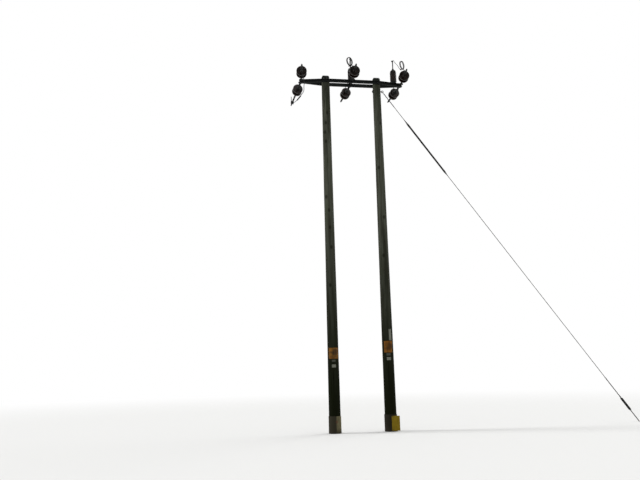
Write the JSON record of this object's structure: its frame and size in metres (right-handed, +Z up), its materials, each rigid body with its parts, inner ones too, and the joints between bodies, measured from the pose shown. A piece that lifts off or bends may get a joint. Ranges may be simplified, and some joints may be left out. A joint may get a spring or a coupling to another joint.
{
  "type": "wooden utility pole",
  "caption": "Wooden overhead-line support: paired tapered poles, bent-channel steel crossarm, disc-insulator tension strings, post insulators and a stay with an insulating rod.",
  "frame": {"origin": "centre of the left pole where it meets the ground", "axes": "+X along the crossarm towards the right pole and the stay, +Y towards the far side as the picture sees it, +Z up"},
  "size_m": [7.9971, 2.5156, 8.764],
  "materials": {
    "pole_wood": "weathered grey-brown treated softwood with long checks",
    "dark_steel": "dark dull weathered steel",
    "porcelain": "dark brown glazed porcelain",
    "wire": "dull weathered stranded aluminium",
    "insulating_rod": "black sheathed rod",
    "pale_sleeve": "pale grey-beige sleeve, stained",
    "yellow_sheet": "worn yellow sheet",
    "grey_sheet": "dull pale sheet"
  },
  "bodies": {
    "root": {"left_pole": "pole_wood", "right_pole": "pole_wood", "near_channel": "dark_steel", "far_channel": "dark_steel", "arm_bolts": "dark_steel", "strain_eye_bolts": "dark_steel", "left_near_fittings": "dark_steel", "left_near_discs": "porcelain", "left_near_clamp": "dark_steel", "left_far_fittings": "dark_steel", "left_far_discs": "porcelain", "left_far_clamp": "dark_steel", "middle_near_fittings": "dark_steel", "middle_near_discs": "porcelain", "middle_near_clamp": "dark_steel", "middle_far_fittings": "dark_steel", "middle_far_discs": "porcelain", "middle_far_clamp": "dark_steel", "right_near_fittings": "dark_steel", "right_near_discs": "porcelain", "right_near_clamp": "dark_steel", "right_far_fittings": "dark_steel", "right_far_discs": "porcelain", "right_far_clamp": "dark_steel", "middle_post": "porcelain", "right_post": "porcelain", "middle_post_bracket": "dark_steel", "right_post_bracket": "dark_steel", "post_fittings": "dark_steel", "left_jumper": "wire", "left_tap_clamp": "dark_steel", "middle_tails": "wire", "middle_lead": "wire", "right_tails": "wire", "right_lead": "wire", "stay_eye_bolt": "dark_steel", "stay_grips": "wire", "stay_wires": "wire", "stay_insulator": "insulating_rod", "stay_insulator_ends": "dark_steel", "stay_adjuster": "dark_steel", "stay_rod": "dark_steel", "left_foot_band": "pale_sleeve", "right_foot_band": "pale_sleeve", "yellow_plate": "yellow_sheet", "left_danger_plate": "yellow_sheet", "right_danger_plate": "yellow_sheet", "left_number_plates": "grey_sheet", "right_number_plates": "grey_sheet", "right_tag_strip": "grey_sheet"}
  },
  "joints": []
}
